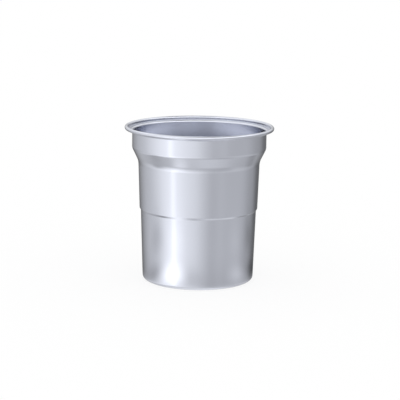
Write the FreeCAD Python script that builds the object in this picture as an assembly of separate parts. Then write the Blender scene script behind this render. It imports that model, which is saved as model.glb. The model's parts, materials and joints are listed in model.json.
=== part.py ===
import FreeCAD, Part
import math
import os

# Deep drawn cup: one piece of sheet, drawn in two stages from a flat round blank, necked
# out to a straight collar and flange, and curled at its edge.
# Millimetres. +Z is up the axis of the cup, and the origin is the middle of the base's
# underside. Radii are to the outside of the cup, and steps and heights run from corner to
# corner of the section. A bend is the radius on the inside of that bend, as for any sheet
# work.

SHEET = 0.6                # thickness of the sheet, the same all over

# Radii: from the collar in to the base, and out to the rim
COLLAR_RADIUS = 42.25      # the size that a mating hole is made to
SHOULDER_STEP = 3.97       # from the collar in to the upper stage, across the cone
WAIST_STEP = 0.8           # from the upper stage in to the lower one
DRAFT = 1.8                # taper of both stages, degrees each side
FLANGE_WIDTH = 4.75        # from the collar out to the outermost point of the curl
CURL_RADIUS = 1.15         # outside radius of the curl's round section

# Heights: one above the other, from the base up
LOWER_STAGE = 44.9         # from the level of the base to the foot of the waist
WAIST_RISE = 1.3           # from the foot of the waist to its head
UPPER_STAGE = 30.0         # from the head of the waist to the foot of the cone
SHOULDER_SLOPE = 26.0      # of the cone away from the axis, degrees
COLLAR_LENGTH = 10.86      # from the head of the cone to the underside of the flange
RIM_RISE = 2.95            # from the underside of the flange to the top of the curl
CURL_TUCK = 70.0           # how far the raw edge is rolled under, degrees past level

# Bends
BASE_BEND = 2.05           # between the base and the wall
WAIST_BEND = 0.4           # at the foot and at the head of the waist
SHOULDER_FOOT_BEND = 9.7   # at the foot of the cone
SHOULDER_HEAD_BEND = 3.6   # at the head of the cone
FLANGE_BEND = 0.6          # from the collar to the flange
UPSTAND_BEND = 0.2         # from the flange to the upstand that carries the curl

# Worked out from the sizes above
HALF_SHEET = SHEET / 2     # from either face to the middle line of the sheet
WAIST_HEAD = LOWER_STAGE + WAIST_RISE
CONE_FOOT = WAIST_HEAD + UPPER_STAGE
CONE_HEAD = CONE_FOOT + SHOULDER_STEP / math.tan(math.radians(SHOULDER_SLOPE))
FLANGE_UNDERSIDE = CONE_HEAD + COLLAR_LENGTH
CURL_HEIGHT = FLANGE_UNDERSIDE + RIM_RISE - CURL_RADIUS
CURL_CENTRE_RADIUS = COLLAR_RADIUS + FLANGE_WIDTH - CURL_RADIUS


def point(radius, height):
    """A point of the section, which lies in the XZ plane."""
    return FreeCAD.Vector(radius, 0, height)


def body_corners():
    """Corners of the middle line from the base to the head of the cone, with their bends."""
    slope = math.tan(math.radians(DRAFT))
    collar = COLLAR_RADIUS - HALF_SHEET
    upper_stage_top = collar - SHOULDER_STEP
    waist_head = upper_stage_top - slope * UPPER_STAGE
    waist_foot = waist_head - WAIST_STEP
    base = waist_foot - slope * (LOWER_STAGE - HALF_SHEET)
    return [
        (point(base, HALF_SHEET), BASE_BEND),
        (point(waist_foot, LOWER_STAGE), WAIST_BEND),
        (point(waist_head, WAIST_HEAD), WAIST_BEND),
        (point(upper_stage_top, CONE_FOOT), SHOULDER_FOOT_BEND),
        (point(collar, CONE_HEAD), SHOULDER_HEAD_BEND),
    ]


def flange_corners():
    """Corners where the collar turns out to the flange and the flange turns up."""
    level = FLANGE_UNDERSIDE + HALF_SHEET
    upstand = CURL_CENTRE_RADIUS - CURL_RADIUS + HALF_SHEET
    return [
        (point(COLLAR_RADIUS - HALF_SHEET, level), FLANGE_BEND),
        (point(upstand, level), UPSTAND_BEND),
    ]


def curl():
    """Middle line of the curl: up from the upstand, over the top and under."""
    radius = CURL_RADIUS - HALF_SHEET
    centre = point(CURL_CENTRE_RADIUS, CURL_HEIGHT)

    def at(degrees):
        turn = math.radians(degrees)
        return centre + point(radius * math.cos(turn), radius * math.sin(turn))

    return Part.Arc(at(180), at(90), at(-CURL_TUCK)), at(180)


def bent_line(start, corners, end):
    """Straight runs from corner to corner, with a tangent arc for each bend."""
    pieces = []
    here = start
    ends = [corner for corner, bend in corners[1:]] + [end]
    for (corner, bend), after in zip(corners, ends):
        back = (here - corner).normalize()
        ahead = (after - corner).normalize()
        half_angle = back.getAngle(ahead) / 2
        radius = bend + HALF_SHEET
        reach = radius / math.tan(half_angle)
        depth = radius / math.sin(half_angle) - radius
        arc_start = corner + back * reach
        arc_middle = corner + (back + ahead).normalize() * depth
        arc_end = corner + ahead * reach
        pieces.append(Part.LineSegment(here, arc_start))
        pieces.append(Part.Arc(arc_start, arc_middle, arc_end))
        here = arc_end
    pieces.append(Part.LineSegment(here, end))
    return pieces


def middle_line():
    """The middle of the sheet, from the axis to the raw edge of the curl."""
    corners = body_corners() + flange_corners()
    curl_arc, curl_start = curl()
    pieces = bent_line(point(0, HALF_SHEET), corners, curl_start) + [curl_arc]
    return Part.Wire([piece.toShape() for piece in pieces])


def drawn_cup():
    """The middle line given the sheet's thickness, and the section turned about the axis."""
    outside = middle_line().makeOffset2D(-HALF_SHEET, openResult=True)
    section = outside.makeOffset2D(SHEET, openResult=True, fill=True)
    return section.revolve(point(0, 0), FreeCAD.Vector(0, 0, 1), 360)


os.makedirs("parts", exist_ok=True)
drawn_cup().exportStep("parts/cup.step")
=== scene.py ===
"""Studio scene of a deep drawn metal cup.

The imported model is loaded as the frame. The cup is then modelled again over it at the same
sizes, as one smooth sheet that is drawn up ring by ring from a flat blank, thickened, and
given its satin finish. A pale floor, a soft white studio and the camera stand round it.
"""

import json
import logging
import math
from dataclasses import dataclass
from enum import Enum

import bmesh
import bpy
from mathutils import Matrix, Vector


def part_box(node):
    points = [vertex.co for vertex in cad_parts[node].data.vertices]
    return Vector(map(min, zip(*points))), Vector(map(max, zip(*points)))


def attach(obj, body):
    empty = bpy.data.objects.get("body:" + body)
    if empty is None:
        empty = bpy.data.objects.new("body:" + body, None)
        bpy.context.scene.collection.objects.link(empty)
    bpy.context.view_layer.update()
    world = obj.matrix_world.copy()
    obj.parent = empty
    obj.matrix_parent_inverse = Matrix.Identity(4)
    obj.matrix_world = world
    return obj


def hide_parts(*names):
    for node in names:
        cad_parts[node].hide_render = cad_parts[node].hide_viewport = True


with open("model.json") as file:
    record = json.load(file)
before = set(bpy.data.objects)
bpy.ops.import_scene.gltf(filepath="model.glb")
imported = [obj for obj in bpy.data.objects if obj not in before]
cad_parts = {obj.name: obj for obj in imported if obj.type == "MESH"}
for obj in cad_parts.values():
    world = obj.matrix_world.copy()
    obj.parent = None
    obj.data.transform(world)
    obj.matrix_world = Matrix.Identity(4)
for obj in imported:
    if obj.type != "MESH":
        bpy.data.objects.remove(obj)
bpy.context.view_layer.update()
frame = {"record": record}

MM = 0.001
ON_RING = 0.01 * MM
MERGE = 0.001 * MM
ALONG_THE_DRAW = 0.25
LOG = logging.getLogger("drawn_cup")


# ---------------------------------------------------------------------------------------
# Working with the sheet: edit-mode operators on rings round the axis
# ---------------------------------------------------------------------------------------


@dataclass(frozen=True)
class Corner:
    """A corner of the sheet's middle line.

    Args:
        radius: distance from the axis.
        height: height above the rest plane.
        bend: radius on the inside of the bend, or 0 where the line runs straight on.
        steps: faces across the bend.
    """

    radius: float
    height: float
    bend: float = 0.0
    steps: int = 6

    def point(self) -> Vector:
        """The corner as a point of the section, radius first."""
        return Vector((self.radius, self.height))


class SheetLathe:
    """Draws a sheet up from a round blank, one ring at a time, in edit mode."""

    def __init__(self, name: str, segments: int, hub: Corner) -> None:
        """Adds the middle of the blank as a primitive and enters edit mode.

        Args:
            name: name of the new piece.
            segments: faces round the axis.
            hub: edge of the middle of the blank.
        """
        bpy.ops.object.select_all(action="DESELECT")
        bpy.ops.mesh.primitive_circle_add(
            vertices=segments,
            radius=hub.radius,
            fill_type="TRIFAN",
            location=(0.0, 0.0, hub.height),
        )
        self.piece = bpy.context.active_object
        self.piece.name = name
        self.piece.data.name = name
        bpy.ops.object.transform_apply(location=True, rotation=True, scale=True)
        bpy.ops.object.mode_set(mode="EDIT")
        bpy.ops.mesh.select_mode(type="EDGE")
        self.edge = hub
        self.select_ring(hub)

    def select_ring(self, corner: Corner) -> None:
        """Selects the ring of edges at a corner, and nothing else.

        Args:
            corner: where the ring is.
        """
        mesh = bmesh.from_edit_mesh(self.piece.data)
        for part in (*mesh.verts, *mesh.edges, *mesh.faces):
            part.select = False
        for edge in mesh.edges:
            edge.select = all(
                abs(vertex.co.z - corner.height) < ON_RING
                and abs(vertex.co.xy.length - corner.radius) < ON_RING
                for vertex in edge.verts
            )
        mesh.select_flush_mode()
        bmesh.update_edit_mesh(self.piece.data)

    def draw_to(self, corner: Corner) -> None:
        """Extrudes the open edge of the sheet to a new ring.

        Args:
            corner: where the new ring goes.
        """
        rise = corner.height - self.edge.height
        spread = corner.radius / self.edge.radius
        bpy.ops.mesh.extrude_edges_move(TRANSFORM_OT_translate={"value": (0.0, 0.0, rise)})
        bpy.ops.transform.resize(
            value=(spread, spread, 1.0), center_override=(0.0, 0.0, corner.height)
        )
        self.edge = corner

    def round_bend(self, before: Corner, corner: Corner, after: Corner, half: float) -> None:
        """Rounds the ring at a corner into an arc that is tangent to both runs.

        Args:
            before: the corner before it.
            corner: the corner to round.
            after: the corner after it.
            half: half the sheet's thickness, which the arc lies outside the inner bend.
        """
        back = before.point() - corner.point()
        ahead = after.point() - corner.point()
        reach = (corner.bend + half) / math.tan(back.angle(ahead) / 2.0)
        self.select_ring(corner)
        bpy.ops.mesh.bevel(
            offset_type="OFFSET",
            offset=reach,
            segments=corner.steps,
            profile=0.5,
            affect="EDGES",
            clamp_overlap=False,
        )

    def finish(self) -> bpy.types.Object:
        """Closes the surface, turns its faces outwards and leaves edit mode.

        Returns:
            The piece, still without a thickness.
        """
        bpy.ops.mesh.select_all(action="SELECT")
        bpy.ops.mesh.remove_doubles(threshold=MERGE)
        bpy.ops.mesh.normals_make_consistent(inside=False)
        bpy.ops.object.mode_set(mode="OBJECT")
        return self.piece


# ---------------------------------------------------------------------------------------
# Wiring of node trees
# ---------------------------------------------------------------------------------------

Feed = bpy.types.NodeSocket | float | tuple[float, ...]


class Wiring:
    """Adds nodes to one node tree and links them."""

    def __init__(self, tree: bpy.types.NodeTree) -> None:
        """Takes the tree to work in."""
        self.tree = tree

    def add(self, kind: str) -> bpy.types.Node:
        """Adds a node of one kind."""
        return self.tree.nodes.new(kind)

    def feed(self, taker: bpy.types.NodeSocket, value: Feed) -> None:
        """Links a socket, or sets it where the value is plain.

        Args:
            taker: the input.
            value: an output to link, or a plain value.
        """
        if isinstance(value, bpy.types.NodeSocket):
            self.tree.links.new(value, taker)
        else:
            taker.default_value = value

    def math(self, operation: str, *values: Feed) -> bpy.types.NodeSocket:
        """Adds a Math node.

        Args:
            operation: what it does.
            values: its inputs in order.

        Returns:
            Its output.
        """
        node = self.add("ShaderNodeMath")
        node.operation = operation
        for taker, value in zip(node.inputs, values):
            self.feed(taker, value)
        return node.outputs[0]

    def vector(self, operation: str, *values: Feed) -> bpy.types.Node:
        """Adds a Vector Math node.

        Args:
            operation: what it does.
            values: its vector inputs in order.

        Returns:
            The node, whose output is Vector or Value.
        """
        node = self.add("ShaderNodeVectorMath")
        node.operation = operation
        for taker, value in zip(node.inputs, values):
            self.feed(taker, value)
        return node

    def ease(
        self,
        value: Feed,
        start: float,
        end: float,
        low: float = 0.0,
        high: float = 1.0,
    ) -> bpy.types.NodeSocket:
        """Eases smoothly from one level to another as a value rises.

        Args:
            value: what rises.
            start: where the easing starts.
            end: where it ends.
            low: the level before it.
            high: the level after it.

        Returns:
            The eased level.
        """
        node = self.add("ShaderNodeMapRange")
        node.interpolation_type = "SMOOTHSTEP"
        self.feed(node.inputs["Value"], value)
        node.inputs["From Min"].default_value = start
        node.inputs["From Max"].default_value = end
        node.inputs["To Min"].default_value = low
        node.inputs["To Max"].default_value = high
        return node.outputs["Result"]

    def blend(self, share: Feed, first: Feed, second: Feed) -> bpy.types.NodeSocket:
        """Blends two levels.

        Args:
            share: how much of the second there is.
            first: the level at none.
            second: the level at all.

        Returns:
            The blended level.
        """
        node = self.add("ShaderNodeMix")
        self.feed(node.inputs["Factor"], share)
        self.feed(node.inputs["A"], first)
        self.feed(node.inputs["B"], second)
        return node.outputs["Result"]

    def noise(self, where: Feed, detail: float, scale: float) -> bpy.types.NodeSocket:
        """Adds a noise pattern about zero.

        Args:
            where: the vector it is sampled at.
            detail: how many finer layers it has.
            scale: its density.

        Returns:
            The pattern, from about -0.5 to 0.5.
        """
        node = self.add("ShaderNodeTexNoise")
        node.inputs["Scale"].default_value = scale
        node.inputs["Detail"].default_value = detail
        self.feed(node.inputs["Vector"], where)
        return self.math("SUBTRACT", node.outputs["Fac"], 0.5)


# ---------------------------------------------------------------------------------------
# Shader effects shared by the finishes
# ---------------------------------------------------------------------------------------


class SatinClouding:
    """Node group: the slow drift that rubbing leaves in a satin sheet.

    It comes out as a value about zero, so that a finish can use it in its own amount.
    """

    NAME = "satin_clouding"

    def __init__(self) -> None:
        """Builds the group once."""
        self.group = bpy.data.node_groups.new(self.NAME, "ShaderNodeTree")
        self.group.interface.new_socket(
            name="Clouding", in_out="OUTPUT", socket_type="NodeSocketFloat"
        )
        wiring = Wiring(self.group)
        out = wiring.add("NodeGroupOutput")
        where = wiring.add("ShaderNodeTexCoord").outputs["Object"]
        wiring.feed(out.inputs["Clouding"], wiring.noise(where, detail=2.0, scale=55.0))


# ---------------------------------------------------------------------------------------
# Finishes
# ---------------------------------------------------------------------------------------


@dataclass(frozen=True)
class SheetFinish:
    """One satin metal finish.

    Args:
        name: the material's name.
        color: reflectance of the metal.
        roughness: how blurred its reflections are.
        stretch: how much further they blur along the draw than round the axis.
        clouding: how much the roughness wanders from place to place.
    """

    name: str
    color: tuple[float, float, float]
    roughness: float
    stretch: float = 0.0
    clouding: float = 0.04

    def material(self, marks: SatinClouding) -> bpy.types.Material:
        """Makes the material.

        Args:
            marks: the shared clouding effect.

        Returns:
            The material, ready to assign.
        """
        made = bpy.data.materials.new(self.name)
        made.use_nodes = True
        wiring = Wiring(made.node_tree)
        shader = made.node_tree.nodes["Principled BSDF"]
        shader.inputs["Base Color"].default_value = (*self.color, 1.0)
        shader.inputs["Metallic"].default_value = 1.0
        shader.inputs["Anisotropic"].default_value = self.stretch
        shader.inputs["Anisotropic Rotation"].default_value = ALONG_THE_DRAW
        effect = wiring.add("ShaderNodeGroup")
        effect.node_tree = marks.group
        wander = wiring.math(
            "MULTIPLY_ADD", effect.outputs["Clouding"], self.clouding, self.roughness
        )
        wiring.feed(shader.inputs["Roughness"], wander)
        return made


class Side(Enum):
    """The faces of the sheet, and the finish that each one has."""

    OUTER = SheetFinish("outer_satin", (0.60, 0.62, 0.69), 0.20, stretch=0.5)
    INNER = SheetFinish("inner_satin", (0.60, 0.62, 0.69), 0.20, stretch=0.5)
    RAW_EDGE = SheetFinish("raw_edge", (0.55, 0.55, 0.58), 0.4)


# ---------------------------------------------------------------------------------------
# The cup
# ---------------------------------------------------------------------------------------


@dataclass
class DrawnCup:
    """The whole cup, from one sheet: base, two stages, shoulder, collar, flange and curl.

    Radii are to the outside of the cup, steps and heights run from corner to corner of the
    section, and bends are on the inside of each bend.

    Args:
        collar_radius: radius of the collar.
        rim_radius: radius of the curled rim.
        rim_height: height of the curled rim above the rest plane.
    """

    collar_radius: float
    rim_radius: float
    rim_height: float
    sheet: float = 0.6 * MM
    draft: float = math.radians(1.8)
    waist_step: float = 0.8 * MM
    shoulder_step: float = 3.97 * MM
    shoulder_slope: float = math.radians(26.0)
    lower_stage: float = 44.9 * MM
    waist_rise: float = 1.3 * MM
    upper_stage: float = 30.0 * MM
    collar_length: float = 10.86 * MM
    base_bend: float = 2.05 * MM
    waist_bend: float = 0.4 * MM
    shoulder_foot_bend: float = 9.7 * MM
    shoulder_head_bend: float = 3.6 * MM
    flange_bend: float = 0.6 * MM
    upstand_bend: float = 0.2 * MM
    curl_radius: float = 1.15 * MM
    curl_tuck: float = math.radians(70.0)
    hub_radius: float = 6.0 * MM
    curl_steps: int = 26
    segments: int = 288
    crease: float = math.radians(40.0)

    @classmethod
    def from_frame(cls, record: dict) -> "DrawnCup":
        """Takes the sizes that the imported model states.

        Args:
            record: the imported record.

        Returns:
            The cup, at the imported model's collar, rim and height.
        """
        collar = next(mount for mount in record["mounts"] if mount["name"] == "collar")
        low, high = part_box("cup")
        return cls(
            collar_radius=collar["dims"]["r_mm"] * MM,
            rim_radius=(high[0] - low[0]) / 2.0,
            rim_height=high[2],
        )

    @property
    def half(self) -> float:
        """Half the sheet's thickness, from either face to its middle line."""
        return self.sheet / 2.0

    def body(self) -> list[Corner]:
        """The corners of the middle line from the base to the flange's upstand.

        Returns:
            The corners, from the axis outwards and up.
        """
        slope = math.tan(self.draft)
        waist_top = self.lower_stage + self.waist_rise
        cone_foot = waist_top + self.upper_stage
        cone_head = cone_foot + self.shoulder_step / math.tan(self.shoulder_slope)
        level = cone_head + self.collar_length + self.half
        collar = self.collar_radius - self.half
        stage_top = collar - self.shoulder_step
        waist_head = stage_top - slope * self.upper_stage
        waist_foot = waist_head - self.waist_step
        base = waist_foot - slope * (self.lower_stage - self.half)
        upstand = self.rim_radius - 2.0 * self.curl_radius + self.half
        return [
            Corner(base, self.half, self.base_bend, 8),
            Corner(waist_foot, self.lower_stage, self.waist_bend, 4),
            Corner(waist_head, waist_top, self.waist_bend, 4),
            Corner(stage_top, cone_foot, self.shoulder_foot_bend, 8),
            Corner(collar, cone_head, self.shoulder_head_bend, 8),
            Corner(collar, level, self.flange_bend, 6),
            Corner(upstand, level, self.upstand_bend, 4),
        ]

    def curl(self) -> list[Corner]:
        """The rings of the curl, from the top of the upstand over and under.

        Returns:
            The rings, close enough together to read as a smooth arc.
        """
        radius = self.curl_radius - self.half
        middle = Vector((self.rim_radius - self.curl_radius, self.rim_height - self.curl_radius))
        sweep = math.pi + self.curl_tuck
        turns = [math.pi - sweep * step / self.curl_steps for step in range(self.curl_steps + 1)]
        return [
            Corner(middle.x + radius * math.cos(turn), middle.y + radius * math.sin(turn))
            for turn in turns
        ]

    def model(self) -> bpy.types.Object:
        """Draws the sheet up, rounds its bends and gives it its thickness.

        Returns:
            The cup's piece.
        """
        hub = Corner(self.hub_radius, self.half)
        corners, curl = self.body(), self.curl()
        lathe = SheetLathe("drawn_cup", self.segments, hub)
        for corner in (*corners, *curl):
            lathe.draw_to(corner)
        ends = [hub, *corners, curl[0]]
        for before, corner, after in zip(ends, corners, ends[2:]):
            lathe.round_bend(before, corner, after, self.half)
        piece = lathe.finish()
        self.thicken(piece)
        return piece

    def thicken(self, piece: bpy.types.Object) -> None:
        """Gives the sheet its thickness and its smooth shading.

        Args:
            piece: the surface at the sheet's middle.
        """
        solid = piece.modifiers.new("sheet", "SOLIDIFY")
        solid.thickness = self.sheet
        solid.offset = 0.0
        solid.use_even_offset = True
        solid.material_offset = 1
        solid.material_offset_rim = 2
        bpy.ops.object.modifier_apply(modifier=solid.name)
        bpy.ops.object.shade_smooth_by_angle(angle=self.crease)
        weighted = piece.modifiers.new("even_shading", "WEIGHTED_NORMAL")
        weighted.keep_sharp = True
        bpy.ops.object.modifier_apply(modifier=weighted.name)

    def build(self, marks: SatinClouding) -> bpy.types.Object:
        """Models the cup, dresses it and ties it to the frame.

        Args:
            marks: the shared clouding effect.

        Returns:
            The finished piece.
        """
        piece = self.model()
        for side in Side:
            piece.data.materials.append(side.value.material(marks))
        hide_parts("cup")
        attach(piece, "root")
        return piece


# ---------------------------------------------------------------------------------------
# The studio
# ---------------------------------------------------------------------------------------


@dataclass(frozen=True)
class Span:
    """A soft-edged window along one measure.

    Args:
        middle: where its middle is.
        half: half its width at full strength.
        fade: how much further it takes to fade out.
    """

    middle: float
    half: float
    fade: float

    def over(self, wiring: Wiring, value: Feed, turn: bool = False) -> bpy.types.NodeSocket:
        """Wires the window's strength over a value.

        Args:
            wiring: the wiring to work in.
            value: the measure, in the span's own unit.
            turn: whether the measure is a whole turn in degrees, which closes on itself.

        Returns:
            The strength, from 0 to 1.
        """
        apart = wiring.math("SUBTRACT", value, self.middle)
        if turn:
            apart = wiring.math("WRAP", apart, 180.0, -180.0)
        apart = wiring.math("ABSOLUTE", apart)
        return wiring.ease(apart, self.half, self.half + self.fade, 1.0, 0.0)


@dataclass(frozen=True)
class SoftLight:
    """A soft light or white board round the studio, that polished things see.

    Args:
        bearing: its span round the studio, in degrees to the right of the camera's side.
        height: its span in degrees above the horizon.
        level: how much light it adds.
    """

    bearing: Span
    height: Span
    level: float

    def seen(
        self, wiring: Wiring, bearing: bpy.types.NodeSocket, height: bpy.types.NodeSocket
    ) -> bpy.types.NodeSocket:
        """Wires the light's level over the directions.

        Args:
            wiring: the wiring to work in.
            bearing: bearing of the direction looked in.
            height: height of that direction above the horizon.

        Returns:
            The light's level in that direction.
        """
        across = wiring.math("MULTIPLY", self.bearing.over(wiring, bearing, turn=True), self.level)
        return wiring.math("MULTIPLY", across, self.height.over(wiring, height))


@dataclass(frozen=True)
class FloorSpot:
    """A soft round spot of light or of shade on the floor, that polished things see.

    Args:
        bearing: where it lies round the cup, in degrees to the right of the camera's side.
        distance: how far its middle is from the cup's axis.
        radius: how far it reaches before it has faded out.
        level: how much light it adds, or what share of the light it takes.
    """

    bearing: float
    distance: float
    radius: float
    level: float

    def seen(self, wiring: Wiring, where: bpy.types.NodeSocket) -> bpy.types.NodeSocket:
        """Wires the spot's level over the floor.

        Args:
            wiring: the wiring to work in.
            where: the place on the floor.

        Returns:
            The spot's level at that place.
        """
        turn = math.radians(self.bearing)
        middle = (self.distance * math.sin(turn), -self.distance * math.cos(turn), 0.0)
        apart = wiring.vector("DISTANCE", where, middle).outputs["Value"]
        return wiring.ease(apart, 0.0, self.radius, self.level, 0.0)


class Reach(Enum):
    """The heights that the studio's lights stand at, in degrees above the horizon."""

    FLOOR = Span(-90.0, 18.0, 50.0)
    TABLE = Span(-32.0, 0.0, 20.0)
    WALL = Span(-12.0, 8.0, 18.0)
    HORIZON = Span(4.0, 0.0, 18.0)
    SCREEN = Span(33.0, 11.0, 20.0)
    HIGH = Span(44.0, 0.0, 22.0)
    TOP = Span(68.0, 0.0, 23.0)


@dataclass
class Studio:
    """A white studio: a pale floor, and soft lights that polished things see.

    Args:
        walls: the level of the bare walls.
        lights: the soft lights and white boards that stand before the walls.
        pools: the pools of light on the floor.
        shades: the shaded places on the floor.
        floor_size: how wide the floor is.
        whiteness: how much of the floor's look is plain white, the rest keeps its shadows.
    """

    walls: float = 0.15
    lights: tuple[SoftLight, ...] = (
        SoftLight(Span(-50.0, 0.0, 8.0), Reach.WALL.value, 0.3),
        SoftLight(Span(-30.0, 20.0, 65.0), Reach.WALL.value, 0.5),
        SoftLight(Span(-80.0, 30.0, 60.0), Reach.WALL.value, 0.55),
        SoftLight(Span(45.0, 40.0, 40.0), Reach.WALL.value, 0.2),
        SoftLight(Span(85.0, 35.0, 30.0), Reach.WALL.value, 0.3),
        SoftLight(Span(-30.0, 60.0, 30.0), Reach.HORIZON.value, 0.4),
        SoftLight(Span(-90.0, 75.0, 30.0), Reach.HORIZON.value, 0.3),
        SoftLight(Span(180.0, 30.0, 45.0), Reach.HORIZON.value, 0.2),
        SoftLight(Span(0.0, 180.0, 1.0), Reach.SCREEN.value, 0.9),
        SoftLight(Span(0.0, 30.0, 60.0), Reach.SCREEN.value, 0.4),
        SoftLight(Span(55.0, 40.0, 45.0), Reach.HIGH.value, 1.0),
        SoftLight(Span(-90.0, 45.0, 45.0), Reach.HIGH.value, 0.4),
        SoftLight(Span(-150.0, 0.0, 120.0), Reach.TOP.value, 1.2),
        SoftLight(Span(-30.0, 0.0, 120.0), Reach.TOP.value, 0.6),
        SoftLight(Span(-45.0, 0.0, 90.0), Reach.TABLE.value, 0.6),
        SoftLight(Span(0.0, 180.0, 1.0), Reach.TABLE.value, 0.3),
        SoftLight(Span(0.0, 180.0, 1.0), Reach.FLOOR.value, 0.9),
    )
    pools: tuple[FloorSpot, ...] = (
        FloorSpot(0.0, 0.0, 50.0 * MM, 1.2),
        FloorSpot(-40.0, 65.0 * MM, 35.0 * MM, 0.9),
        FloorSpot(-40.0, 145.0 * MM, 60.0 * MM, 0.3),
        FloorSpot(65.0, 60.0 * MM, 30.0 * MM, 0.25),
        FloorSpot(70.0, 140.0 * MM, 50.0 * MM, 0.1),
    )
    shades: tuple[FloorSpot, ...] = (
        FloorSpot(0.0, 0.0, 120.0 * MM, 0.2),
        FloorSpot(-80.0, 145.0 * MM, 60.0 * MM, 0.4),
        FloorSpot(-70.0, 60.0 * MM, 30.0 * MM, 0.3),
        FloorSpot(110.0, 150.0 * MM, 60.0 * MM, 0.35),
        FloorSpot(110.0, 60.0 * MM, 30.0 * MM, 0.4),
        FloorSpot(-10.0, 60.0 * MM, 30.0 * MM, 0.2),
    )
    floor_size: float = 12.0
    whiteness: float = 0.8

    def surround(
        self, wiring: Wiring, walls: float, lights: tuple[SoftLight, ...]
    ) -> bpy.types.NodeSocket:
        """Wires the level of the studio's walls and lights over the directions.

        Args:
            wiring: the world's wiring.
            walls: the level of the bare walls.
            lights: the lights that stand before them.

        Returns:
            The level in the direction looked in.
        """
        split = wiring.add("ShaderNodeSeparateXYZ")
        wiring.feed(split.inputs[0], wiring.add("ShaderNodeTexCoord").outputs["Generated"])
        front = wiring.math("MULTIPLY", split.outputs["Y"], -1.0)
        bearing = wiring.math("DEGREES", wiring.math("ARCTAN2", split.outputs["X"], front))
        height = wiring.math("DEGREES", wiring.math("ARCSINE", split.outputs["Z"]))
        total: Feed = walls
        for light in lights:
            total = wiring.math("ADD", total, light.seen(wiring, bearing, height))
        return total

    def world(self) -> None:
        """Makes the white surround, with the lights that polished things see in it."""
        world = bpy.data.worlds.new("studio")
        bpy.context.scene.world = world
        world.use_nodes = True
        wiring = Wiring(world.node_tree)
        background = world.node_tree.nodes["Background"]
        background.inputs["Color"].default_value = (1.0, 1.0, 1.0, 1.0)
        total = self.surround(wiring, self.walls, self.lights)
        rays = wiring.add("ShaderNodeLightPath").outputs["Is Glossy Ray"]
        wiring.feed(background.inputs["Strength"], wiring.blend(rays, 1.0, total))

    def pool_glow(self, wiring: Wiring, pools: tuple[FloorSpot, ...]) -> bpy.types.NodeSocket:
        """Wires the level of the pools of light over the floor.

        Args:
            wiring: the floor's wiring.
            pools: the pools of light.

        Returns:
            The level at the place looked at.
        """
        where = wiring.add("ShaderNodeTexCoord").outputs["Object"]
        total: Feed = 0.0
        for pool in pools:
            total = wiring.math("ADD", total, pool.seen(wiring, where))
        return total

    def clearness(self, wiring: Wiring) -> bpy.types.NodeSocket:
        """Wires how much of the surround's light the shades leave over the floor.

        Args:
            wiring: the floor's wiring.

        Returns:
            The share of light left at the place looked at.
        """
        where = wiring.add("ShaderNodeTexCoord").outputs["Object"]
        left: Feed = 1.0
        for shade in self.shades:
            kept = wiring.math("SUBTRACT", 1.0, shade.seen(wiring, where))
            left = wiring.math("MULTIPLY", left, kept)
        return left

    def floor(self) -> None:
        """Lays the pale floor that the cup stands on."""
        bpy.ops.object.select_all(action="DESELECT")
        bpy.ops.mesh.primitive_plane_add(size=self.floor_size)
        floor = bpy.context.active_object
        floor.name = "studio_floor"
        floor.data.materials.append(self.floor_finish())

    def floor_finish(self) -> bpy.types.Material:
        """Makes the floor's white finish.

        The camera sees plain white with the cup's faint shadow. Polished things see the
        surround through it, darker where the shades are, and the pools of light on it.

        Returns:
            The material.
        """
        made = bpy.data.materials.new("pale_floor")
        made.use_nodes = True
        wiring = Wiring(made.node_tree)
        made.node_tree.nodes.remove(made.node_tree.nodes["Principled BSDF"])
        paint = wiring.add("ShaderNodeBsdfDiffuse")
        paint.inputs["Color"].default_value = (1.0, 1.0, 1.0, 1.0)
        white = wiring.add("ShaderNodeEmission")
        rays = wiring.add("ShaderNodeLightPath")
        share = wiring.math("MULTIPLY", rays.outputs["Is Camera Ray"], self.whiteness)
        plain = self._mix(wiring, share, paint, white)

        clear = wiring.add("ShaderNodeBsdfTransparent")
        wiring.feed(clear.inputs["Color"], self.clearness(wiring))
        glow = wiring.add("ShaderNodeEmission")
        wiring.feed(glow.inputs["Strength"], self.pool_glow(wiring, self.pools))
        seen = wiring.add("ShaderNodeAddShader")
        wiring.feed(seen.inputs[0], clear.outputs[0])
        wiring.feed(seen.inputs[1], glow.outputs[0])

        whole = self._mix(wiring, rays.outputs["Is Glossy Ray"], plain, seen)
        surface = made.node_tree.nodes["Material Output"].inputs["Surface"]
        wiring.feed(surface, whole.outputs[0])
        return made

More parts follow.
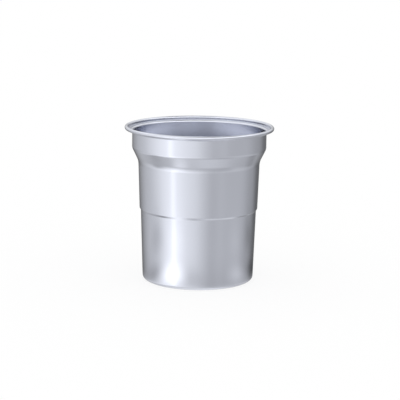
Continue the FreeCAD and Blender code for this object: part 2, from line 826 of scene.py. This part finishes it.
    def _mix(
        self, wiring: Wiring, share: Feed, first: bpy.types.Node, second: bpy.types.Node
    ) -> bpy.types.Node:
        """Mixes two shaders.

        Args:
            wiring: the wiring to work in.
            share: how much of the second there is.
            first: the shader at none.
            second: the shader at all.

        Returns:
            The mixing node.
        """
        mix = wiring.add("ShaderNodeMixShader")
        wiring.feed(mix.inputs["Fac"], share)
        wiring.feed(mix.inputs[1], first.outputs[0])
        wiring.feed(mix.inputs[2], second.outputs[0])
        return mix

    def build(self) -> None:
        """Builds the surround and the floor, and sets the picture's plain tones."""
        self.world()
        self.floor()
        bpy.context.scene.view_settings.view_transform = "Standard"


@dataclass
class Viewpoint:
    """The camera, looking slightly down on the cup from its front.

    Args:
        elevation: how far above the horizon it stands.
        distance: how far it is from the point it looks at.
        aim_height: height of that point on the cup's axis.
        roll: how far it is turned about its own line of sight.
        lens: focal length, in the sensor's unit.
        sensor: width of the sensor.
        shift: how far the picture is moved sideways and up, in widths of the picture.
    """

    elevation: float = math.radians(11.20)
    distance: float = 993.5 * MM
    aim_height: float = 47.5 * MM
    roll: float = math.radians(0.74)
    lens: float = 140.86
    sensor: float = 36.0
    shift: tuple[float, float] = (0.00385, 0.01175)

    def build(self) -> None:
        """Adds the camera and makes it the scene's own."""
        data = bpy.data.cameras.new("camera")
        data.lens = self.lens
        data.sensor_width = self.sensor
        data.shift_x, data.shift_y = self.shift
        data.clip_end = 50.0
        camera = bpy.data.objects.new("camera", data)
        bpy.context.scene.collection.objects.link(camera)
        back = Vector((0.0, -math.cos(self.elevation), math.sin(self.elevation)))
        place = Vector((0.0, 0.0, self.aim_height)) + back * self.distance
        facing = back.to_track_quat("Z", "Y").to_matrix().to_4x4()
        roll = Matrix.Rotation(self.roll, 4, "Z")
        camera.matrix_world = Matrix.Translation(place) @ facing @ roll
        bpy.context.scene.camera = camera


def main() -> None:
    """Builds the cup, the studio and the camera, and reports each piece."""
    logging.basicConfig(level=logging.INFO, format="%(name)s: %(message)s")
    cup = DrawnCup.from_frame(frame["record"]).build(SatinClouding())
    LOG.info("%s: %d faces", cup.name, len(cup.data.polygons))
    Studio().build()
    LOG.info("studio: floor and surround")
    Viewpoint().build()
    LOG.info("camera in place")


if __name__ == "__main__":
    main()
